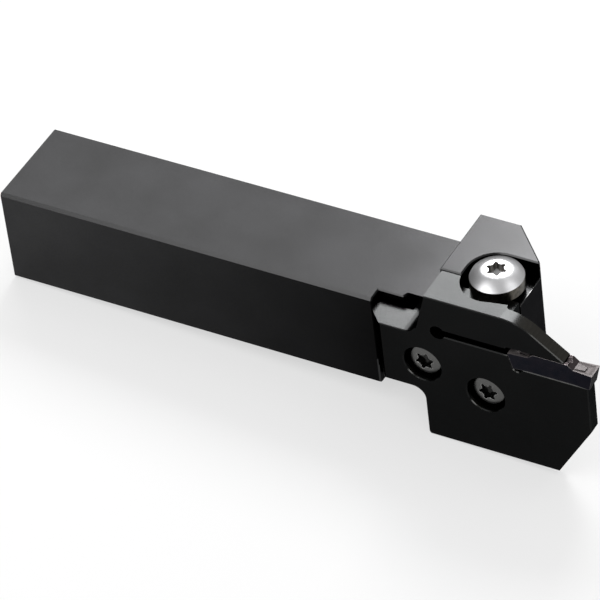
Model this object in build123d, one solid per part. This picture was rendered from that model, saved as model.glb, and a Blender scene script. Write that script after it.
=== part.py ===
"""Grooving tool holder: square shank and head, screwed-on blade, clamped double-ended insert.

Origin at the centre of the shank's rear end face, +X along the shank towards the cutting edge,
-Y on the blade's side, +Z up. The cutting edge is level with the top of the shank.
"""

import math
import os

from build123d import *

# Shank
overall_length = 150.0
shank_width = 25.0
shank_height = 25.0
shank_chamfer = 0.7
edge_break = 0.3

# Head, one piece with the shank
groove_reach = 21.5
head_length = 19.0
head_rise = 9.3
head_drop = 6.4
head_root_radius = 5.0
head_corner_length = 9.1
head_corner_width = 9.4
jaw_relief = 0.6

# Seat for the blade in the side of the holder
seat_depth = 5.0
tail_seat_depth = 3.5
tail_seat_length = 6.1
seat_step_length = 0.6

# Blade
blade_proud = 4.0
blade_thickness = 3.2
blade_setback = 1.4
blade_heel_offset = 1.3
blade_corner_radius = 0.7
blade_root_radius = 1.0
blade_edge_break = 0.2
nose_corner_length = 8.7
nose_corner_height = 14.4
tail_length = 14.8
tail_gap = 0.4
tail_drop = 2.3
tail_height = 16.05
tail_front_chamfer = 3.4
tail_back_chamfer = 1.0
tail_corner_chamfer = 0.5
tail_upper_radius = 3.5
tail_lower_radius = 3.0

# Slit and springing upper jaw
jaw_lean_deg = 15.4
jaw_foot_offset = 1.1
jaw_slope_deg = 36.9
jaw_top_radius = 12.0
jaw_tip_setback = 6.8
jaw_tip_land = 0.3
jaw_cut_radius = 7.0
jaw_cut_inset = 6.2
jaw_cut_flare_deg = 10.0
slit_width = 1.7
slit_drop = 1.1
slit_hole_radius = 1.8
slit_hole_inset = 5.8

# Insert, the same at both ends
insert_length = 20.0
insert_width = 4.0
insert_neck = 3.3
insert_depth = 4.2
insert_crown = 1.1
insert_head = 4.6
insert_ramp = 1.3
nose_relief_deg = 12.0
side_relief_deg = 2.0
chip_land = 0.4
chip_depth = 0.45
chip_width = 3.0
chip_floor_width = 1.2
chip_rear_slope = 1.0
chip_wedge_length = 2.3
chip_wedge_width = 1.9
chip_wedge_drop = 0.1

# Rails that keep the insert in line with the blade
rail_width = 1.6
rail_height = 0.4
rail_clearance = 0.05
stop_height = 2.4
stop_relief = 0.3
corner_groove_radius = 1.3
corner_groove_inset = 0.95
corner_groove_rise = 0.35

# Clamp screw, upright, set back from the head's end
clamp_setback = 6.75
clamp_inset = 8.5
clamp_thread = 6.0
clamp_reach = 12.0
clamp_head_diameter = 12.1
clamp_rim_height = 3.05
clamp_rim_chamfer = 0.4
clamp_dome_height = 1.5
clamp_flat_diameter = 6.2
clamp_ledge_drop = 3.1
clamp_floor_drop = 4.5
clamp_pocket_rear = 6.6
clamp_pocket_left = 7.1
clamp_pocket_radius = 6.9

# Blade screws, lying across the holder, set back from the head's end
blade_screw_thread = 5.0
blade_screw_reach = 14.0
blade_screw_head_diameter = 7.3
blade_screw_head_height = 3.0
blade_screw_crown_height = 0.35
blade_screw_rim_chamfer = 0.2
blade_screw_flat_diameter = 5.2
blade_screw_recess = 1.1
blade_screw_bore_clearance = 0.25
counterbore_diameter = 9.1
rear_screw_setback = 20.2
rear_screw_drop = 11.0
front_screw_setback = 5.1
front_screw_drop = 14.8
rear_key_turn_deg = 14.0
front_key_turn_deg = 8.0

# Six-lobed key recess, the same in all three screws
key_across_points = 4.5
key_across_flats = 3.1
key_lobe_radius = 0.34
key_depth = 1.9
key_cone_depth = 0.35
key_cone_tip_radius = 0.4

# Fits
thread_clearance = 0.05
seat_clearance = 0.02
thread_runout = 2.0
screw_end_chamfer = 0.8

# Places worked out from the sizes above
front_y = -shank_width / 2
back_y = shank_width / 2
top_z = shank_height / 2
bottom_z = -shank_height / 2
edge_x = overall_length
edge_z = top_z
head_end_x = edge_x - groove_reach
head_start_x = head_end_x - head_length
head_top_z = top_z + head_rise
head_bottom_z = bottom_z - head_drop
seat_start_x = head_start_x - tail_length
seat_y = front_y + seat_depth
tail_seat_y = front_y + tail_seat_depth
blade_front_y = front_y - blade_proud
blade_back_y = blade_front_y + blade_thickness
blade_middle_y = (blade_front_y + blade_back_y) / 2
blade_end_x = edge_x - blade_setback
blade_heel_x = head_start_x - blade_heel_offset
jaw_foot_x = blade_heel_x - jaw_foot_offset
tail_top_z = edge_z - tail_drop
tail_bottom_z = tail_top_z - tail_height
insert_bottom_z = edge_z - insert_depth
insert_crown_z = edge_z + insert_crown
insert_rear_x = edge_x - insert_length
jaw_tip_x = edge_x - jaw_tip_setback
slit_hole_x = jaw_foot_x + slit_hole_inset
clamp_x = head_end_x - clamp_setback
clamp_y = front_y + clamp_inset
clamp_ledge_z = head_top_z - clamp_ledge_drop
clamp_floor_z = head_top_z - clamp_floor_drop
blade_screw_seat_y = blade_front_y + blade_screw_recess + blade_screw_head_height
margin = 1.0


def side_solid(sketch, y0, y1):
    """Solid whose X-Z outline is the sketch, from y0 to y1."""
    return extrude(Plane.XZ.offset(-y1) * sketch, amount=y1 - y0)


def plan_solid(sketch, z0, z1):
    """Solid whose X-Y outline is the sketch, from z0 to z1."""
    return extrude(Pos(0, 0, z0) * sketch, amount=z1 - z0)


def outline(points):
    """Closed face through the points."""
    return make_face(Polyline(*points, close=True))


def round_corner(sketch, point, radius):
    """Sketch with the corner nearest to the point rounded."""
    return fillet(sketch.vertices().sort_by_distance(point)[0], radius)


def six_lobed_face():
    """Mouth of the key recess: six round lobes joined by hollows tangent to them."""
    lobe_distance = key_across_points / 2 - key_lobe_radius
    waist = key_across_flats / 2
    spread = 2 * lobe_distance * math.cos(math.radians(30))
    surplus = lobe_distance**2 + waist**2 - spread * waist - key_lobe_radius**2
    hollow_radius = surplus / (2 * key_lobe_radius + spread - 2 * waist)
    hollow_distance = waist + hollow_radius
    reach = key_lobe_radius / (key_lobe_radius + hollow_radius)
    corners = []
    lobes = Sketch()
    hollows = Sketch()
    for turn in range(0, 360, 60):
        lobe = Vector(lobe_distance, 0).rotate(Axis.Z, turn)
        lobes += Pos(lobe) * Circle(key_lobe_radius)
        for side in (-30, 30):
            hollow = Vector(hollow_distance, 0).rotate(Axis.Z, turn + side)
            corners.append(lobe + (hollow - lobe) * reach)
        hollows += Pos(hollow) * Circle(hollow_radius)
    return outline(corners) + lobes - hollows


def key_recess():
    """Room for the key, with its mouth at z = 0 and its depth downwards."""
    socket = plan_solid(six_lobed_face(), -key_depth, margin)
    cone = Cone(key_cone_tip_radius, key_across_flats / 2, key_cone_depth)
    return socket + Pos(0, 0, -key_depth - key_cone_depth / 2) * cone


def screw_shank(diameter, reach):
    """Threaded shank under z = 0 as a plain cylinder with a chamfered end."""
    shank = Pos(0, 0, -reach / 2) * Cylinder(diameter / 2, reach)
    return chamfer(shank.edges().sort_by(Axis.Z)[0], screw_end_chamfer)


def screw_hole(diameter, reach):
    """Tapped hole for a screw shank that starts at z = 0 and goes down."""
    depth = reach + thread_runout
    radius = diameter / 2 + thread_clearance
    return Pos(0, 0, (margin - depth) / 2) * Cylinder(radius, depth + margin)


def broken_rim(head, height, size):
    """Screw head with the edge round its rim, at the given height, chamfered."""
    edges = head.edges().sort_by(lambda edge: abs(edge.center().Z - height))
    return chamfer(edges[0], size)


def blade_screw_places():
    """Where each blade screw's head is seated, with its own +Z out of the blade."""
    spots = {
        "blade_screw_rear": (rear_screw_setback, rear_screw_drop, rear_key_turn_deg),
        "blade_screw_front": (front_screw_setback, front_screw_drop, front_key_turn_deg),
    }
    places = {}
    for name, (setback, drop, turn) in spots.items():
        origin = (head_end_x - setback, blade_screw_seat_y, edge_z - drop)
        plane = Plane(origin=origin, x_dir=(1, 0, 0), z_dir=(0, -1, 0))
        places[name] = plane.location * Rot(0, 0, turn)
    return places


def holder_blank():
    """Shank and head across the full width, seen from the side."""
    points = [
        (0, bottom_z),
        (blade_heel_x, bottom_z),
        (blade_heel_x, head_bottom_z),
        (head_end_x, head_bottom_z),
        (head_end_x, head_top_z),
        (head_start_x, head_top_z),
        (head_start_x, top_z),
        (0, top_z),
    ]
    face = round_corner(outline(points), (blade_heel_x, bottom_z), head_root_radius)
    return side_solid(face, front_y, back_y)


def broken_shank_edges(body):
    """Holder with the shank's long edges and its rear end chamfered."""
    long_edges = [edge for edge in body.edges().filter_by(Axis.X) if edge.bounding_box().min.X < margin]
    body = chamfer(long_edges, shank_chamfer)
    return chamfer(body.faces().sort_by(Axis.X)[0].edges(), edge_break)


def broken_seat_rim(body):
    """Holder with the edges chamfered where the blade's seat opens at the shank's top and side."""
    walls = body.faces().filter_by(Axis.X).sort_by(lambda face: abs(face.center().X - seat_start_x))
    rim = [edge for edge in walls[0].edges() if edge.center().Y < tail_seat_y - edge_break]
    for edge in body.edges():
        middle = edge.center()
        beside_seat = tail_seat_y - edge_break < middle.Y < seat_y + edge_break
        over_tail = seat_start_x < middle.X < head_start_x - edge_break
        if beside_seat and over_tail and abs(middle.Z - top_z) < edge_break:
            rim.append(edge)
    return chamfer(rim, edge_break)


def blade_seat():
    """Room milled out of the holder's side for the blade, its tail and its free jaw."""
    step_x = seat_start_x + tail_seat_length
    far_x = head_end_x + margin
    near_y = front_y - margin
    seat_points = [
        (seat_start_x, near_y),
        (seat_start_x, tail_seat_y),
        (step_x, tail_seat_y),
        (step_x + seat_step_length, seat_y),
        (far_x, seat_y),
        (far_x, near_y),
    ]
    jaw_points = [
        (head_start_x - margin, near_y),
        (head_start_x - margin, seat_y + jaw_relief),
        (far_x, seat_y + jaw_relief),
        (far_x, near_y),
    ]
    seat = plan_solid(outline(seat_points), head_bottom_z - margin, head_top_z + margin)
    return seat + plan_solid(outline(jaw_points), top_z, head_top_z + margin)


def head_corner():
    """Slanting cut down the whole far back corner of the head."""
    points = [
        (head_end_x - head_corner_length, back_y),
        (head_end_x, back_y - head_corner_width),
        (head_end_x + margin, back_y - head_corner_width),
        (head_end_x + margin, back_y + margin),
        (head_end_x - head_corner_length, back_y + margin),
    ]
    return plan_solid(outline(points), head_bottom_z - margin, head_top_z + margin)


def clamp_pocket():
    """Pocket for the clamp screw's head, open to the blade and to the end of the head."""
    left_x = clamp_x - clamp_pocket_left
    rear_y = clamp_y + clamp_pocket_rear
    points = [
        (left_x, front_y - margin),
        (head_end_x + margin, front_y - margin),
        (head_end_x + margin, rear_y),
        (left_x, rear_y),
    ]
    face = round_corner(outline(points), (left_x, rear_y), clamp_pocket_radius)
    return plan_solid(face, clamp_floor_z, head_top_z + margin)


def make_holder():
    """Shank and head in one piece, with the blade's seat, the pocket and the tapped holes."""
    body = broken_shank_edges(holder_blank() - blade_seat() - head_corner())
    body = broken_seat_rim(body)
    body -= clamp_pocket()
    body = chamfer(body.faces().sort_by(Axis.Z)[-1].edges(), edge_break)
    clamp_seat = Pos(clamp_x, clamp_y, clamp_floor_z)
    body -= clamp_seat * screw_hole(clamp_thread, clamp_reach)
    for place in blade_screw_places().values():
        body -= place * screw_hole(blade_screw_thread, blade_screw_reach)
    return body


def blade_side():
    """Outline of the blade seen from the side, before its slit and insert seat are cut."""
    lean = math.tan(math.radians(jaw_lean_deg))
    slope = math.tan(math.radians(jaw_slope_deg))
    jaw_rear_x = jaw_foot_x + (head_top_z - tail_top_z) * lean
    tip_z = insert_crown_z + jaw_tip_land
    shoulder_x = jaw_tip_x - (head_top_z - tip_z) / slope
    tail_rear_x = seat_start_x + tail_gap
    points = [
        (jaw_rear_x, head_top_z),
        (jaw_foot_x, tail_top_z),
        (tail_rear_x, tail_top_z),
        (tail_rear_x, tail_bottom_z),
        (blade_heel_x, tail_bottom_z),
        (blade_heel_x, head_bottom_z),
        (blade_end_x - nose_corner_length, head_bottom_z),
        (blade_end_x, head_bottom_z + nose_corner_height),
        (blade_end_x, insert_bottom_z),
        (jaw_tip_x, insert_bottom_z),
        (jaw_tip_x, tip_z),
        (shoulder_x, head_top_z),
    ]
    face = outline(points)
    face = round_corner(face, (jaw_foot_x, tail_top_z), tail_upper_radius)
    face = round_corner(face, (blade_heel_x, tail_bottom_z), tail_lower_radius)
    face = round_corner(face, (blade_heel_x, head_bottom_z), blade_corner_radius)
    return round_corner(face, (shoulder_x, head_top_z), jaw_top_radius)


def blade_plan():
    """Outline of the blade seen from above: thin beyond the head, thick where it is seated."""
    step_x = seat_start_x + tail_seat_length
    tail_rear_x = seat_start_x + tail_gap
    points = [
        (tail_rear_x + tail_corner_chamfer, tail_seat_y),
        (tail_rear_x, tail_seat_y - tail_corner_chamfer),
        (tail_rear_x, blade_front_y + tail_front_chamfer),
        (tail_rear_x + tail_front_chamfer, blade_front_y),
        (blade_end_x, blade_front_y),
        (blade_end_x, blade_back_y),
        (head_end_x, blade_back_y),
        (head_end_x, seat_y),
        (step_x + seat_step_length, seat_y),
        (step_x, tail_seat_y),
    ]
    return round_corner(outline(points), (head_end_x, blade_back_y), blade_root_radius)


def tail_back_cut():
    """Room that slants down behind the tail's top."""
    far_y = seat_y + margin
    near_y = tail_seat_y - tail_back_chamfer
    points = [(near_y, tail_top_z), (far_y, tail_top_z), (far_y, tail_top_z - (far_y - near_y))]
    length = jaw_foot_x - tail_upper_radius - seat_start_x
    return extrude(Plane.YZ.offset(seat_start_x) * outline(points), amount=length)


def jaw_cut():
    """Room in the jaw for the clamp screw's head, down to the ledge that it presses on."""
    centre_y = front_y + jaw_cut_inset
    flare = math.tan(math.radians(jaw_cut_flare_deg))
    low_y = centre_y - jaw_cut_radius
    end_x = head_end_x + margin
    low_end_y = low_y + (end_x - clamp_x) * flare
    far_y = seat_y + margin
    channel = outline([(clamp_x, low_y), (end_x, low_end_y), (end_x, far_y), (clamp_x, far_y)])
    face = Pos(clamp_x, centre_y) * Circle(jaw_cut_radius) + channel
    return plan_solid(face, clamp_ledge_z, head_top_z + margin)


def slit_and_insert_seat():
    """Slit with its round end, and the slot that takes the insert, seen from the side."""
    slit_bottom_z = edge_z - slit_drop
    slit_top_z = slit_bottom_z + slit_width
    relief = math.tan(math.radians(nose_relief_deg))
    stop_bottom_x = insert_rear_x + insert_depth * relief
    stop_top_x = insert_rear_x + (insert_depth - stop_height) * relief
    stop_top_z = insert_bottom_z + stop_height
    points = [
        (slit_hole_x, slit_bottom_z),
        (insert_rear_x - stop_relief, slit_bottom_z),
        (stop_top_x - stop_relief, stop_top_z),
        (stop_top_x, stop_top_z),
        (stop_bottom_x, insert_bottom_z),
        (blade_end_x + margin, insert_bottom_z),
        (blade_end_x + margin, insert_crown_z),
        (insert_rear_x - 2 * stop_relief, insert_crown_z),
        (insert_rear_x - 2 * stop_relief, slit_top_z),
        (slit_hole_x, slit_top_z),
    ]
    hole = Pos(slit_hole_x, (slit_bottom_z + slit_top_z) / 2) * Circle(slit_hole_radius)
    groove_x = stop_bottom_x + corner_groove_inset
    groove = Pos(groove_x, insert_bottom_z + corner_groove_rise) * Circle(corner_groove_radius)
    return outline(points) + hole + groove


def rail(x0, x1, z, rise, grow):
    """Low three-sided rail along X, its foot at z; rise is negative for one that hangs down."""
    half = rail_width / 2 + grow
    peak = math.copysign(rail_height + grow, rise)
    points = [(blade_middle_y - half, z), (blade_middle_y + half, z), (blade_middle_y, z + peak)]
    return extrude(Plane.YZ.offset(x0) * outline(points), amount=x1 - x0)


def front_edges(blade):
    """Edges round the blade's front face."""
    return blade.faces().sort_by(Axis.Y)[0].edges()


def beside_slit(edge):
    """Whether an edge of the blade's front is at the slit, the insert's seat or the jaw's tip."""
    middle = edge.center()
    low_z = insert_bottom_z - corner_groove_radius
    high_z = insert_crown_z + jaw_tip_land
    return middle.X > slit_hole_x - slit_hole_radius and low_z < middle.Z < high_z


def screw_seat():
    """Hole for a blade screw and its head, with a broken rim at the blade's front."""
    bore = Cylinder(blade_screw_thread / 2 + blade_screw_bore_clearance, 2 * blade_screw_reach)
    depth = blade_screw_recess + blade_screw_head_height
    radius = counterbore_diameter / 2
    counterbore = Pos(0, 0, depth / 2) * Cylinder(radius, depth)
    rim = Pos(0, 0, depth - blade_edge_break / 2) * Cone(radius, radius + blade_edge_break, blade_edge_break)
    return bore + counterbore + rim


def make_blade():
    """Blade with its tail, springing jaw, insert seat and the two screw holes."""
    blade = side_solid(blade_side(), blade_front_y, seat_y)
    blade &= plan_solid(blade_plan(), head_bottom_z - margin, head_top_z + margin)
    blade -= tail_back_cut()
    outer_edges = [edge for edge in front_edges(blade) if not beside_slit(edge)]
    blade = chamfer(outer_edges, blade_edge_break)
    blade -= jaw_cut()
    blade -= side_solid(slit_and_insert_seat(), blade_front_y - margin, seat_y + margin)
    slit_edges = [edge for edge in front_edges(blade) if beside_slit(edge)]
    blade = chamfer(slit_edges, blade_edge_break)
    rail_start_x = insert_rear_x + insert_head
    blade += rail(rail_start_x, blade_end_x, insert_bottom_z, 1, 0)
    blade += rail(rail_start_x + insert_ramp, jaw_tip_x, insert_crown_z, -1, 0)
    for place in blade_screw_places().values():
        blade -= place * screw_seat()
    return blade


def insert_side():
    """Outline of the insert seen from the side: a crowned middle between two cutting heads."""
    relief = insert_depth * math.tan(math.radians(nose_relief_deg))
    rear = insert_rear_x
    points = [
        (rear, edge_z),
        (rear + insert_head, edge_z),
        (rear + insert_head + insert_ramp, insert_crown_z),
        (edge_x - insert_head - insert_ramp, insert_crown_z),
        (edge_x - insert_head, edge_z),
        (edge_x, edge_z),
        (edge_x - relief, insert_bottom_z),
        (rear + relief, insert_bottom_z),
    ]
    return outline(points)


def insert_plan():
    """Outline of the insert seen from above: widest at the two cutting edges."""
    half_edge = insert_width / 2
    half_neck = insert_neck / 2
    points = [
        (insert_rear_x, half_edge),
        (insert_rear_x + insert_head, half_neck),
        (edge_x - insert_head, half_neck),
        (edge_x, half_edge),
        (edge_x, -half_edge),
        (edge_x - insert_head, -half_neck),
        (insert_rear_x + insert_head, -half_neck),
        (insert_rear_x, -half_edge),
    ]
    return Pos(0, blade_middle_y) * outline(points)


def chip_hollow():
    """Hollow in the top of a cutting head, sloping up on all sides, with a blunt wedge left in it."""
    rear_x = edge_x - insert_head
    step_x = rear_x + chip_wedge_length
    front_x = edge_x - chip_land
    low_z = edge_z - chip_depth
    high_z = edge_z + margin
    side_points = [
        (rear_x, high_z),
        (rear_x, edge_z),
        (rear_x + chip_rear_slope, low_z),
        (step_x, low_z),
        (front_x, edge_z),
        (front_x, high_z),
    ]
    half_width = chip_width / 2
    half_floor = chip_floor_width / 2
    end_points = [
        (blade_middle_y - half_width, high_z),
        (blade_middle_y - half_width, edge_z),
        (blade_middle_y - half_floor, low_z),
        (blade_middle_y + half_floor, low_z),
        (blade_middle_y + half_width, edge_z),
        (blade_middle_y + half_width, high_z),
    ]
    hollow = side_solid(outline(side_points), blade_middle_y - insert_width, blade_middle_y + insert_width)
    hollow &= extrude(Plane.YZ.offset(rear_x) * outline(end_points), amount=insert_head)
    half_wedge = chip_wedge_width / 2
    wedge_plan = [
        (rear_x, blade_middle_y - half_wedge),
        (step_x, blade_middle_y - half_floor),
        (step_x, blade_middle_y + half_floor),
        (rear_x, blade_middle_y + half_wedge),
    ]
    wedge_side = [
        (rear_x, edge_z),
        (step_x, edge_z - chip_wedge_drop),
        (step_x, low_z - margin),
        (rear_x, low_z - margin),
    ]
    wedge = plan_solid(outline(wedge_plan), low_z - margin, high_z)
    wedge &= side_solid(outline(wedge_side), blade_middle_y - insert_width, blade_middle_y + insert_width)
    return hollow - wedge


def make_insert():
    """Double-ended insert with clearance on every side of its cutting edges."""
    body = side_solid(insert_side(), blade_middle_y - insert_width, blade_middle_y + insert_width)
    top = Pos(0, 0, edge_z) * insert_plan()
    lower = extrude(top, amount=-insert_depth, taper=side_relief_deg)
    body &= lower + plan_solid(insert_plan(), edge_z, insert_crown_z)
    middle_x = (edge_x + insert_rear_x) / 2
    hollow = chip_hollow()
    body -= hollow
    body -= mirror(hollow, Plane.YZ.offset(middle_x))
    body -= rail(insert_rear_x - margin, edge_x + margin, insert_bottom_z, 1, rail_clearance)
    rail_start_x = insert_rear_x + insert_head
    rail_end_x = edge_x - insert_head
    body -= rail(rail_start_x, rail_end_x, insert_crown_z, -1, rail_clearance)
    return body


def make_clamp_screw():
    """Dome-headed screw, built with the underside of its head at z = 0."""
    rim_radius = clamp_head_diameter / 2
    flat_radius = clamp_flat_diameter / 2
    top = clamp_rim_height + clamp_dome_height
    crown = (rim_radius**2 - flat_radius**2 + clamp_dome_height**2) / (2 * clamp_dome_height)
    sphere_radius = math.hypot(flat_radius, crown)
    sphere_z = top - crown
    middle_angle = (math.atan2(crown, flat_radius) + math.atan2(crown - clamp_dome_height, rim_radius)) / 2
    dome_middle = (
        sphere_radius * math.cos(middle_angle),
        sphere_z + sphere_radius * math.sin(middle_angle),
    )
    dome = ThreePointArc((rim_radius, clamp_rim_height), dome_middle, (flat_radius, top))
    sides = Polyline((flat_radius, top), (0, top), (0, 0), (rim_radius, 0), (rim_radius, clamp_rim_height))
    head = revolve(Plane.XZ * make_face(Curve() + [dome, sides]), Axis.Z)
    head = broken_rim(head, clamp_rim_height, clamp_rim_chamfer)
    screw = head + screw_shank(clamp_thread, clamp_reach)
    screw -= Pos(0, 0, top) * key_recess()
    return Pos(clamp_x, clamp_y, clamp_ledge_z + seat_clearance) * screw


def make_blade_screw(place):
    """Low-crowned screw, built with the underside of its head at z = 0, then put in its place."""
    rim_radius = blade_screw_head_diameter / 2
    flat_radius = blade_screw_flat_diameter / 2
    height = blade_screw_head_height - seat_clearance
    rim_height = height - blade_screw_crown_height
    crown_z = rim_height + blade_screw_crown_height / 2
    head = Pos(0, 0, rim_height / 2) * Cylinder(rim_radius, rim_height)
    head += Pos(0, 0, crown_z) * Cone(rim_radius, flat_radius, blade_screw_crown_height)
    head = broken_rim(head, rim_height, blade_screw_rim_chamfer)
    screw = head + screw_shank(blade_screw_thread, blade_screw_reach)
    screw -= Pos(0, 0, height) * key_recess()
    return place * Pos(0, 0, seat_clearance) * screw


def main():
    """Build every piece and write one STEP file for each."""
    parts = {
        "holder": make_holder(),
        "blade": make_blade(),
        "insert": make_insert(),
        "clamp_screw": make_clamp_screw(),
    }
    for name, place in blade_screw_places().items():
        parts[name] = make_blade_screw(place)
    os.makedirs("parts", exist_ok=True)
    for name, part in parts.items():
        part.label = name
        export_step(part, f"parts/{name}.step")


main()
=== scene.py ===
"""Looks of the grooving tool holder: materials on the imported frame, floor, light and camera."""

import math

import bpy
from mathutils import Euler, Matrix, Vector


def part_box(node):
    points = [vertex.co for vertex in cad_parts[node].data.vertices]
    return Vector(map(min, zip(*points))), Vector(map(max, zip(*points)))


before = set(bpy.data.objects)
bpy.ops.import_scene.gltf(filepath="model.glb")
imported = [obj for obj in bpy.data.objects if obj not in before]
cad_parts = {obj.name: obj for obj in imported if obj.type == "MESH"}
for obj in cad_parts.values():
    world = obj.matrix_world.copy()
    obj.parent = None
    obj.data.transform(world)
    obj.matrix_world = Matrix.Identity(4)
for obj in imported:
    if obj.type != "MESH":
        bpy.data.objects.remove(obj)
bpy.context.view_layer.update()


def rgba(red, green, blue):
    """Opaque colour."""
    return (red, green, blue, 1.0)


MM = 0.001

# Camera, from the perspective of the photograph
CAMERA_TARGET = Vector((0.0633, 0.0074, -0.0147))
CAMERA_DISTANCE = 1.130
CAMERA_AZIMUTH = math.radians(33.41)
CAMERA_ELEVATION = math.radians(41.15)
CAMERA_ROLL = math.radians(-7.5)
CAMERA_LENS = 301.1
CAMERA_SENSOR = 36.0
CAMERA_CLIP = (0.05, 10.0)

# Where the tool rests: the rear end's lower edge and the heel of the head
REST_REAR = Vector((0.0, 0.0, -0.0125))
REST_HEEL = Vector((0.1082, 0.0, -0.0189))
FLOOR_SIZE = 4.0
FLOOR_GAP = 0.02 * MM
FLOOR_COLOUR = rgba(0.86, 0.86, 0.86)
FLOOR_ROUGHNESS = 0.9
FLOOR_GLOW = 0.6
GLOW_COLOUR = rgba(1.0, 1.0, 1.0)

# Room: bright overhead and towards the back, darker at the horizon and towards the front
ROOM_AXIS = Vector((0.15, 0.35, 0.92)).normalized()
ROOM_TURN = (0.25, 0.90)
ROOM_DARK = 0.12
ROOM_BRIGHT = 0.52

# Soft lamps: name, place, aim, width, height and radiance
HEAD_AIM = Vector((0.11, 0.0, 0.0))
SHANK_AIM = Vector((0.05, 0.0, 0.0))
LAMPS = (
    ("back_key", Vector((0.005, 0.40, 0.42)), HEAD_AIM, 0.23, 0.24, 12.5),
    ("back_wide", Vector((-0.24, 0.40, 0.42)), SHANK_AIM, 0.26, 0.34, 2.7),
    ("front_left", Vector((-0.06, -0.33, 0.50)), HEAD_AIM, 0.50, 0.40, 2.4),
    ("over_right", Vector((0.42, 0.10, 0.53)), HEAD_AIM, 0.26, 0.26, 1.3),
    ("low_right", Vector((0.50, -0.42, 0.19)), HEAD_AIM, 0.34, 0.22, 1.5),
)

# Directions on the part that its faces are compared with
UP = (0.0, 0.0, 1.0)
BLADE_SIDE = (0.0, -1.0, 0.0)
CUTTING_END = (1.0, 0.0, 0.0)
HEAD_CHAMFERS = (0.5, -0.5, 0.707)
JAW_SLOPE = (0.6, 0.0, 0.8)
JAW_SLOPE_EDGE = (0.42, -0.707, 0.57)

# How far a face is turned towards a direction, as the cosine where a mask starts and is full
FLAT_TURN = (0.90, 0.97)
BLADE_FRONT_TURN = (0.45, 0.72)
CHAMFER_TURN = (0.76, 0.82)
SLOPE_TURN = (0.93, 0.985)
SLOPE_EDGE_TURN = (0.965, 0.985)
SEAT_TURN = (0.60, 0.66)
SEAT_SIDE_TURN = (0.50, 0.86)
INSERT_TOP_TURN = (0.3, 0.7)
INSERT_HEAD_TURN = (0.76, 0.86)
SCREW_TOP_TURN = (0.25, 0.40)
SHARP_TURN = (0.90, 0.995)

# Stretches of the part, in millimetres from the shank's rear end (X) and above its axis (Z)
# Over this stretch the holder's front faces darken towards the blade as painted shade
SHANK_FRONT_SHADE_X = (10.0, 105.0)
# Over this stretch the top faces of the blade's tail lighten as a painted sheen
TAIL_TOP_SHEEN_X = (100.0, 125.0)
HEAD_END_X = (127.9, 128.2)
RIM_LOW_Z = (16.8, 17.0)
RIM_HIGH_Z = (17.6, 17.8)
SEAT_X = (128.5, 130.0)
SEAT_Z = (11.5, 12.5)
INSERT_LAND_Z = (12.25, 12.40)
INSERT_HEAD_Z = (12.7, 13.1)
INSERT_HONED_Z = (12.8, 13.2)
INSERT_CROWN_Z = (13.3, 13.5)

# Colours, in pairs that the noise mixes
HOLDER_OXIDE = (rgba(0.034, 0.034, 0.0345), rgba(0.040, 0.040, 0.041))
# Colour of the holder's painted chamfer highlight and of its light edge wear
HOLDER_WEAR_AND_HIGHLIGHT = rgba(0.16, 0.16, 0.16)
BLADE_OXIDE = (rgba(0.0322, 0.0330, 0.0332), rgba(0.0372, 0.0380, 0.0382))
BLADE_GROUND = (rgba(0.042, 0.040, 0.036), rgba(0.056, 0.054, 0.048))
# Colour of the blade's painted seat and slope-edge highlights and of its light edge wear
BLADE_WEAR_AND_HIGHLIGHT = rgba(0.80, 0.80, 0.77)
CARBIDE_SIDE = (rgba(0.011, 0.012, 0.016), rgba(0.016, 0.015, 0.019))
CARBIDE_TOP = (rgba(0.060, 0.050, 0.052), rgba(0.076, 0.064, 0.066))
CARBIDE_HEAD = (rgba(0.19, 0.172, 0.172), rgba(0.225, 0.20, 0.20))
CARBIDE_HONED = rgba(0.60, 0.55, 0.55)
# Bare metal rubbed at the screws' key mouths, and the painted highlight on the holder's pocket
# rim
BARE_METAL_AND_RIM_HIGHLIGHT = rgba(0.60, 0.60, 0.59)

# How much of the reflection is left at a grazing angle on the blackened and coated pieces
GRAZING_TINT = rgba(0.36, 0.36, 0.36)

# Key recess of a screw: where it lies, and how its mouth is rounded, turned and rubbed bare
RECESS_RADIUS_MM = 2.4
RECESS_FLOOR_MM = 1.2
RECESS_BORDER_MM = 0.1
MOUTH_RADIUS_MM = 0.3
MOUTH_TURN = 1.8
MOUTH_RUBBED = 0.8
MOUTH_RUBBED_SPAN = (0.15, 0.70)

# Screws: the head's shoulder and its crown's radius are in millimetres; the wall and recess
# colours are painted shade, darker than the head's metal
CLAMP_SCREW = {
    "slot": "bright_screw",
    "axis": UP,
    "head": (rgba(0.58, 0.58, 0.59), rgba(0.66, 0.66, 0.67)),
    "painted_wall_shade": (rgba(0.035, 0.032, 0.028), rgba(0.13, 0.12, 0.10)),
    "recess": rgba(0.26, 0.25, 0.23),
    "roughness": 0.32,
    "shoulder": (2.0, 4.0),
    "dome_radius": 9.0,
}
BLADE_SCREW = {
    "slot": "dark_screw",
    "axis": BLADE_SIDE,
    "head": (rgba(0.08, 0.08, 0.078), rgba(0.12, 0.12, 0.117)),
    "painted_wall_shade": (rgba(0.05, 0.05, 0.048), rgba(0.07, 0.07, 0.067)),
    "recess": rgba(0.05, 0.05, 0.048),
    "roughness": 0.30,
    "shoulder": (1.8, 3.2),
    "dome_radius": 12.0,
}
SCREWS = {
    "clamp_screw": CLAMP_SCREW,
    "blade_screw_rear": BLADE_SCREW,
    "blade_screw_front": BLADE_SCREW,
}

# Range that a noise texture mostly keeps to
NOISE_SPAN = (0.3, 0.7)

# Sockets of a Mix node for each kind of value: first, second and result
MIX_SOCKETS = {"FLOAT": (2, 3, 0), "VECTOR": (4, 5, 1), "RGBA": (6, 7, 2)}


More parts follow.
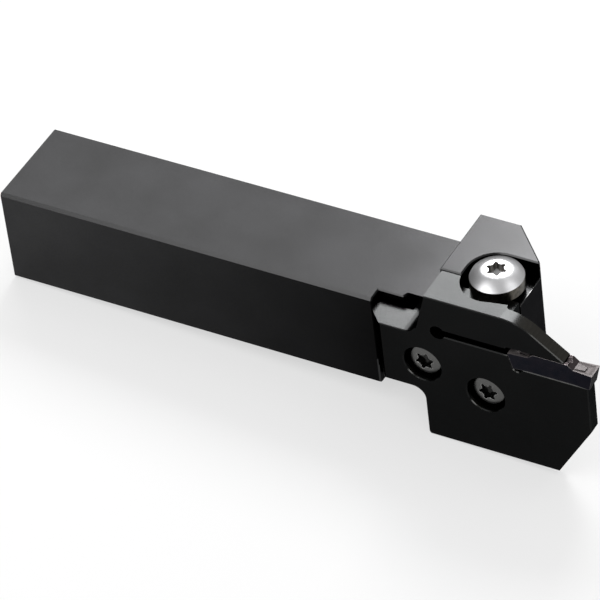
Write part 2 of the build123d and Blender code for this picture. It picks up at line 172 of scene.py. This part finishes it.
class Nodes:
    """A node tree and short ways to add nodes to it."""

    def __init__(self, tree):
        self.tree = tree

    def add(self, kind, inputs=None, **settings):
        """New node with its settings, and its inputs either linked or set."""
        node = self.tree.nodes.new(kind)
        for key, value in settings.items():
            setattr(node, key, value)
        for key, value in (inputs or {}).items():
            self.feed(node.inputs[key], value)
        return node

    def feed(self, socket, value):
        """Link an output to the socket, or set the socket to a plain value."""
        if isinstance(value, bpy.types.NodeSocket):
            self.tree.links.new(value, socket)
        else:
            socket.default_value = value

    def math(self, operation, *values, clamp=False):
        """Output of a Math node."""
        inputs = dict(enumerate(values))
        return self.add("ShaderNodeMath", inputs, operation=operation, use_clamp=clamp).outputs[0]

    def times(self, number, *others):
        """Product of several numbers."""
        for other in others:
            number = self.math("MULTIPLY", number, other)
        return number

    def vector(self, operation, *values):
        """Output of a Vector Math node, which is a number for a dot product or a length."""
        node = self.add("ShaderNodeVectorMath", dict(enumerate(values)), operation=operation)
        return node.outputs["Value" if operation in ("DOT_PRODUCT", "LENGTH") else "Vector"]

    def scaled(self, vector, amount):
        """Vector times a number."""
        inputs = {"Vector": vector, "Scale": amount}
        return self.add("ShaderNodeVectorMath", inputs, operation="SCALE").outputs["Vector"]

    def spread(self, value, low, high, span=NOISE_SPAN, smooth=False):
        """Value that runs from low to high over a span of the given value."""
        inputs = {"Value": value, "From Min": span[0], "From Max": span[1],
                  "To Min": low, "To Max": high}
        curve = "SMOOTHSTEP" if smooth else "LINEAR"
        return self.add("ShaderNodeMapRange", inputs, interpolation_type=curve).outputs["Result"]

    def share(self, mask, value):
        """Number that is 1 outside the mask and the given value inside it."""
        return self.spread(mask, 1.0, value, (0.0, 1.0))

    def mix(self, factor, first, second, kind="RGBA", blend="MIX"):
        """Value mixed from first to second."""
        low, high, result = MIX_SOCKETS[kind]
        inputs = {0: factor, low: first, high: second}
        return self.add("ShaderNodeMix", inputs, data_type=kind, blend_type=blend).outputs[result]

    def shaded(self, colour, *shares):
        """Colour times one or more numbers."""
        for number in shares:
            colour = self.mix(1.0, colour, number, blend="MULTIPLY")
        return colour


class Look(Nodes):
    """A material, with masks and finishes for metal."""

    def __init__(self, name):
        self.material = bpy.data.materials.new(name)
        self.material.use_nodes = True
        super().__init__(self.material.node_tree)
        self.shader = self.tree.nodes["Principled BSDF"]

    def place_mm(self):
        """Place on the part in millimetres, the same at every pose."""
        coords = self.add("ShaderNodeTexCoord").outputs["Object"]
        return self.vector("MULTIPLY", coords, (1.0 / MM, 1.0 / MM, 1.0 / MM))

    def noise(self, place, scale, detail, roughness=0.5, stretch=(1.0, 1.0, 1.0)):
        """Noise around 0.5 with its grain stretched along the small axes of stretch."""
        inputs = {"Vector": self.vector("MULTIPLY", place, stretch), "Scale": scale,
                  "Detail": detail, "Roughness": roughness}
        return self.add("ShaderNodeTexNoise", inputs).outputs["Fac"]

    def ramp(self, place, axis, stretch, first, second):
        """Number that runs from first to second over a stretch of the part, in millimetres."""
        coordinate = self.add("ShaderNodeSeparateXYZ", {"Vector": place}).outputs[axis]
        return self.spread(coordinate, first, second, stretch)

    def facing(self, direction, turn):
        """Mask that rises from 0 to 1 as the face turns towards a direction of the part's own."""
        normal = self.add("ShaderNodeTexCoord").outputs["Normal"]
        return self.spread(self.vector("DOT_PRODUCT", normal, direction), 0.0, 1.0, turn)

    def band(self, direction, turn, soft=0.05):
        """Mask that is 1 where the face's turn towards a direction is within the given range."""
        low, high = turn
        rising = self.facing(direction, (low - soft, low))
        falling = self.facing(direction, (high, high + soft))
        return self.math("SUBTRACT", rising, falling, clamp=True)

    def plain_normal(self):
        """Normal of the mesh itself."""
        return self.add("ShaderNodeNewGeometry").outputs["Normal"]

    def rounded_normal(self, radius_mm, samples):
        """Normal as it is where the edges are rounded."""
        inputs = {"Radius": radius_mm * MM}
        return self.add("ShaderNodeBevel", inputs, samples=samples).outputs["Normal"]

    def patchy_edge_mask(self, place, radius_mm, breakup=0.35):
        """Mask that is 1 along sharp edges, broken up a little as wear is."""
        rounded = self.rounded_normal(radius_mm, samples=6)
        turned = self.vector("DOT_PRODUCT", rounded, self.plain_normal())
        edge = self.spread(turned, 1.0, 0.0, SHARP_TURN)
        patchy = self.spread(self.noise(place, scale=0.9, detail=3.0), 1.0 - breakup, 1.0)
        return self.math("MULTIPLY", edge, patchy, clamp=True)

    def bump(self, height, depth_mm, strength, normal=None):
        """Normal from a height of 0 to 1 that stands for a real depth in millimetres."""
        inputs = {"Height": height, "Distance": depth_mm * MM, "Strength": strength}
        if normal is not None:
            inputs["Normal"] = normal
        return self.add("ShaderNodeBump", inputs).outputs["Normal"]

    def satin(self, noise, roughness):
        """Roughness that varies a little with the noise."""
        return self.spread(noise, roughness - 0.03, roughness + 0.04)

    def tint_grazing(self):
        """Keep the reflection dark at grazing angles, as on an oxide or a coating."""
        self.shader.inputs["Specular Tint"].default_value = GRAZING_TINT

    def finish(self, colour, roughness, normal, metallic=1.0):
        """Connect the finished channels to the shader."""
        channels = {"Base Color": colour, "Roughness": roughness,
                    "Normal": normal, "Metallic": metallic}
        for name, value in channels.items():
            self.feed(self.shader.inputs[name], value)
        return self.material


def oxide_base(look, place, colours, front_shade_share, side_turn, top_sheen_share=1.0):
    """Mottled blackened steel, with a painted shade share on -Y faces and a painted sheen share
    on +Z faces, and its grain.
    """
    mottle = look.spread(look.noise(place, scale=0.08, detail=4.0), 0.0, 1.0)
    # Painted shade darkens -Y faces and a painted sheen lightens +Z faces, each by its share
    side = look.share(look.facing(BLADE_SIDE, side_turn), front_shade_share)
    top = look.share(look.facing(UP, FLAT_TURN), top_sheen_share)
    grain = look.noise(place, scale=4.5, detail=3.0, roughness=0.6)
    speckle = look.spread(grain, 0.84, 1.16)
    return look.shaded(look.mix(mottle, *colours), side, top, speckle), grain


def oxide_finish(look, colour, grain, wear_and_highlight, highlight_and_wear_colour, roughness):
    """Worn parts and painted highlights laid over the blackened steel, and its satin finish."""
    look.tint_grazing()
    normal = look.bump(grain, depth_mm=0.004, strength=0.5)
    return look.finish(look.mix(wear_and_highlight, colour, highlight_and_wear_colour), look.satin(grain, roughness), normal)


def holder_oxide():
    """Blackened holder: front darker towards the blade as painted shade, painted highlights on
    the head chamfers and the pocket rim, light edge wear.
    """
    look = Look("black_oxide_holder_look")
    place = look.place_mm()
    # Painted shade: the front darkens towards the blade
    front_shade_share = look.ramp(place, "X", SHANK_FRONT_SHADE_X, 1.0, 0.12)
    colour, grain = oxide_base(look, place, HOLDER_OXIDE, front_shade_share, FLAT_TURN)
    # Painted highlight on the chamfers that face front left, with light wear along all edges
    chamfer_highlight = look.times(look.facing(HEAD_CHAMFERS, CHAMFER_TURN), 0.15)
    edges = look.times(look.patchy_edge_mask(place, 0.10), 0.06)
    wear_and_highlight = look.math("MAXIMUM", chamfer_highlight, edges)
    # Painted highlight along the pocket rim by the head's end
    on_rim = look.times(look.ramp(place, "X", HEAD_END_X, 0.0, 1.0),
                        look.ramp(place, "Z", RIM_LOW_Z, 0.0, 1.0),
                        look.ramp(place, "Z", RIM_HIGH_Z, 1.0, 0.0))
    rim_highlight = look.times(look.patchy_edge_mask(place, 0.22), on_rim, 0.45)
    colour = look.mix(rim_highlight, colour, BARE_METAL_AND_RIM_HIGHLIGHT)
    return oxide_finish(look, colour, grain, wear_and_highlight, HOLDER_WEAR_AND_HIGHLIGHT, roughness=0.19)


def blade_oxide():
    """Blackened blade: front darker as painted shade, tail's top lighter as a painted sheen,
    ground slope on the jaw, painted highlights on the seat and slope edges, light edge wear.
    """
    look = Look("black_oxide_blade_look")
    place = look.place_mm()
    # Painted sheen: the tail's top faces are lighter than the rest of the blade's top
    top_sheen_share = look.ramp(place, "X", TAIL_TOP_SHEEN_X, 1.9, 1.0)
    # Painted shade: the blade's front faces are darkened to 0.28
    colour, grain = oxide_base(look, place, BLADE_OXIDE, 0.28, BLADE_FRONT_TURN, top_sheen_share)
    across = look.noise(place, scale=1.0, detail=3.0, roughness=0.6, stretch=(3.0, 0.5, 3.0))
    ground = look.mix(look.spread(across, 0.0, 1.0), *BLADE_GROUND)
    colour = look.mix(look.facing(JAW_SLOPE, SLOPE_TURN), colour, ground)
    # Painted highlights on the upward seat strip and the slope's front edge, with light wear
    # along all edges
    patchy = look.spread(look.noise(place, scale=0.45, detail=4.0, roughness=0.6), 0.5, 1.0)
    seat_highlight = look.times(look.band(BLADE_SIDE, SEAT_SIDE_TURN), look.facing(UP, SEAT_TURN),
                      look.ramp(place, "X", SEAT_X, 0.0, 1.0),
                      look.ramp(place, "Z", SEAT_Z, 1.0, 0.0), patchy, 0.05)
    slope_edge_highlight = look.times(look.facing(JAW_SLOPE_EDGE, SLOPE_EDGE_TURN), 0.10)
    edges = look.times(look.patchy_edge_mask(place, 0.10), 0.03)
    wear_and_highlight = look.math("MAXIMUM", look.math("MAXIMUM", seat_highlight, slope_edge_highlight), edges)
    return oxide_finish(look, colour, grain, wear_and_highlight, BLADE_WEAR_AND_HIGHLIGHT, roughness=0.20)


def coated_carbide():
    """Coated insert: dark blue-grey sides, pale matt heads, violet-brown crown, honed edges."""
    look = Look("coated_carbide_look")
    place = look.place_mm()
    tint = look.spread(look.noise(place, scale=0.5, detail=3.0), 0.0, 1.0)
    along = look.facing(CUTTING_END, (-1.0, 1.0))
    ends = look.math("ABSOLUTE", look.math("SUBTRACT", along, 0.5))
    side = look.shaded(look.mix(tint, *CARBIDE_SIDE), look.spread(ends, 1.0, 0.45, (0.40, 0.48)))
    crown_share = look.ramp(place, "Z", INSERT_CROWN_Z, 1.0, 0.6)
    top = look.shaded(look.mix(tint, *CARBIDE_TOP), crown_share)
    land_share = look.ramp(place, "Z", INSERT_LAND_Z, 1.0, 0.68)
    head = look.shaded(look.mix(tint, *CARBIDE_HEAD), land_share)
    upward = look.facing(UP, INSERT_TOP_TURN)
    on_head = look.times(look.facing(UP, INSERT_HEAD_TURN),
                         look.ramp(place, "Z", INSERT_HEAD_Z, 1.0, 0.0))
    grain = look.noise(place, scale=7.0, detail=3.0, roughness=0.6)
    colour = look.mix(upward, side, look.mix(on_head, top, head))
    colour = look.shaded(colour, look.spread(grain, 0.8, 1.2))
    honed = look.times(look.patchy_edge_mask(place, 0.12, breakup=0.2),
                       look.ramp(place, "Z", INSERT_HONED_Z, 0.21, 0.95))
    colour = look.mix(honed, colour, CARBIDE_HONED)
    side_rough, top_rough = look.spread(grain, 0.24, 0.34), look.spread(grain, 0.40, 0.50)
    rough = look.mix(upward, side_rough, top_rough, kind="FLOAT")
    look.tint_grazing()
    normal = look.bump(grain, depth_mm=0.006, strength=0.5)
    return look.finish(colour, rough, normal, look.share(on_head, 0.25))


def crowned_normal(look, flat, radius, screw):
    """Normal of a screw's head that is flat inside its shoulder and a dome past it."""
    rise = look.spread(radius, 0.0, 1.0, screw["shoulder"], smooth=True)
    lean = look.scaled(flat, look.math("DIVIDE", rise, screw["dome_radius"]))
    inputs = {"Vector": look.vector("ADD", lean, screw["axis"])}
    turned = look.add("ShaderNodeVectorTransform", inputs, vector_type="NORMAL",
                      convert_from="OBJECT", convert_to="WORLD").outputs[0]
    return look.vector("NORMALIZE", turned)


def turned_metal(node, screw):
    """Turned screw: crowned head, rings about its axis, mottled walls and key recess darkened as
    painted shade, rubbed mouth of the key recess.
    """
    low, high = (Vector(corner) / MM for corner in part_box(node))
    centre = (low + high) / 2
    axis = screw["axis"]
    floor_level = abs((high - centre).dot(Vector(axis))) - RECESS_FLOOR_MM
    look = Look(node + "_look")
    place = look.place_mm()
    offset = look.vector("SUBTRACT", place, centre)
    along = look.vector("DOT_PRODUCT", offset, axis)
    flat = look.vector("SUBTRACT", offset, look.scaled(axis, along))
    radius = look.vector("LENGTH", flat)

    upward = look.facing(axis, SCREW_TOP_TURN)
    recess_span = (RECESS_RADIUS_MM, RECESS_RADIUS_MM + RECESS_BORDER_MM)
    in_recess = look.spread(radius, 1.0, 0.0, recess_span)
    above_floor = look.spread(along, 0.0, 1.0, (floor_level, floor_level + RECESS_BORDER_MM))
    under_mouth = look.spread(along, 1.0, 0.0, (floor_level - RECESS_BORDER_MM, floor_level))
    on_floor = look.times(in_recess, under_mouth, upward)

    plain = look.plain_normal()
    rounding = look.vector("SUBTRACT", look.rounded_normal(MOUTH_RADIUS_MM, samples=8), plain)
    mouth = look.scaled(rounding, look.times(in_recess, above_floor, MOUTH_TURN))
    crowned = look.vector("ADD", crowned_normal(look, flat, radius, screw), mouth)
    soft = look.vector("NORMALIZE", look.mix(upward, plain, crowned, kind="VECTOR"))

    ring_place = look.add("ShaderNodeCombineXYZ", {"X": radius}).outputs[0]
    rings = look.noise(ring_place, scale=3.0, detail=2.0)
    grain = look.noise(place, scale=6.0, detail=3.0, roughness=0.6)
    mottle = look.noise(place, scale=1.1, detail=4.0, roughness=0.6)
    # Painted shade: the walls and the key recess are darker than the head's metal
    painted_wall_shade = look.mix(look.spread(mottle, 0.0, 1.0), *screw["painted_wall_shade"])
    painted_wall_shade = look.mix(in_recess, painted_wall_shade, screw["recess"])
    head = look.mix(look.spread(grain, 0.0, 1.0), *screw["head"])
    rubbed = look.spread(look.vector("LENGTH", mouth), 0.0, MOUTH_RUBBED, MOUTH_RUBBED_SPAN)
    colour = look.mix(upward, painted_wall_shade, look.mix(rubbed, head, BARE_METAL_AND_RIM_HIGHLIGHT))

    normal = look.bump(rings, depth_mm=0.002, strength=0.4, normal=soft)
    normal = look.bump(grain, depth_mm=0.002, strength=0.4, normal=normal)
    rough = look.satin(rings, screw["roughness"])
    return look.finish(colour, rough, normal, look.share(on_floor, 0.1))


def dress(node, material):
    """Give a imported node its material."""
    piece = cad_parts[node]
    piece.data.materials.clear()
    piece.data.materials.append(material)


def make_materials():
    """Materials of all six pieces."""
    dress("holder", holder_oxide())
    dress("blade", blade_oxide())
    dress("insert", coated_carbide())
    for node, screw in SCREWS.items():
        dress(node, turned_metal(node, screw))


def make_floor():
    """Pale floor, sloping as it lies under the tool at rest."""
    along = REST_HEEL - REST_REAR
    slope = math.atan2(-along.z, along.x)
    under = REST_REAR - Vector((0.0, 0.0, FLOOR_GAP))
    bpy.ops.mesh.primitive_plane_add(size=FLOOR_SIZE, location=under)
    floor = bpy.context.object
    floor.name = "floor"
    floor.rotation_euler = (0.0, slope, 0.0)
    look = Look("floor_look")
    look.shader.inputs["Base Color"].default_value = FLOOR_COLOUR
    look.shader.inputs["Roughness"].default_value = FLOOR_ROUGHNESS
    look.shader.inputs["Specular IOR Level"].default_value = 0.0
    rays = look.add("ShaderNodeLightPath").outputs
    seen = look.math("MAXIMUM", rays["Is Camera Ray"], rays["Is Glossy Ray"])
    seen = look.math("MAXIMUM", seen, rays["Is Transmission Ray"])
    glow = look.add("ShaderNodeEmission", {"Color": GLOW_COLOUR, "Strength": 1.0}).outputs[0]
    inputs = {0: look.times(seen, FLOOR_GLOW), 1: look.shader.outputs[0], 2: glow}
    mixed = look.add("ShaderNodeMixShader", inputs).outputs[0]
    look.feed(look.tree.nodes["Material Output"].inputs["Surface"], mixed)
    floor.data.materials.append(look.material)


def make_room():
    """World that is brighter overhead and behind the tool than in front of it."""
    world = bpy.data.worlds.new("room")
    world.use_nodes = True
    nodes = Nodes(world.node_tree)
    direction = nodes.add("ShaderNodeTexCoord").outputs["Generated"]
    turned = nodes.vector("DOT_PRODUCT", direction, ROOM_AXIS)
    shade = nodes.spread(turned, ROOM_DARK, ROOM_BRIGHT, ROOM_TURN, smooth=True)
    nodes.feed(nodes.tree.nodes["Background"].inputs["Color"], shade)
    bpy.context.scene.world = world


def add_lamp(name, place, aim, width, height, radiance):
    """Soft rectangular lamp of a given radiance, facing the aim point."""
    data = bpy.data.lights.new(name, "AREA")
    data.shape = "RECTANGLE"
    data.size = width
    data.size_y = height
    data.energy = radiance * math.pi * width * height
    lamp = bpy.data.objects.new(name, data)
    lamp.location = place
    lamp.rotation_euler = (aim - place).to_track_quat("-Z", "Y").to_euler()
    bpy.context.scene.collection.objects.link(lamp)


def make_light():
    """Room, and soft lamps behind the tool, over its front left, over its right and low right."""
    make_room()
    for lamp in LAMPS:
        add_lamp(*lamp)


def make_camera():
    """Camera at the photograph's viewing angle."""
    data = bpy.data.cameras.new("camera")
    data.lens = CAMERA_LENS
    data.sensor_width = CAMERA_SENSOR
    data.clip_start, data.clip_end = CAMERA_CLIP
    turn = Euler((math.pi / 2 - CAMERA_ELEVATION, 0.0, CAMERA_AZIMUTH)).to_matrix()
    turn = turn @ Matrix.Rotation(CAMERA_ROLL, 3, "Z")
    camera = bpy.data.objects.new("camera", data)
    camera.rotation_euler = turn.to_euler()
    camera.location = CAMERA_TARGET + turn @ Vector((0.0, 0.0, CAMERA_DISTANCE))
    bpy.context.scene.collection.objects.link(camera)
    bpy.context.scene.camera = camera


make_camera()
make_floor()
make_light()
make_materials()
bpy.context.scene.view_settings.view_transform = "Standard"
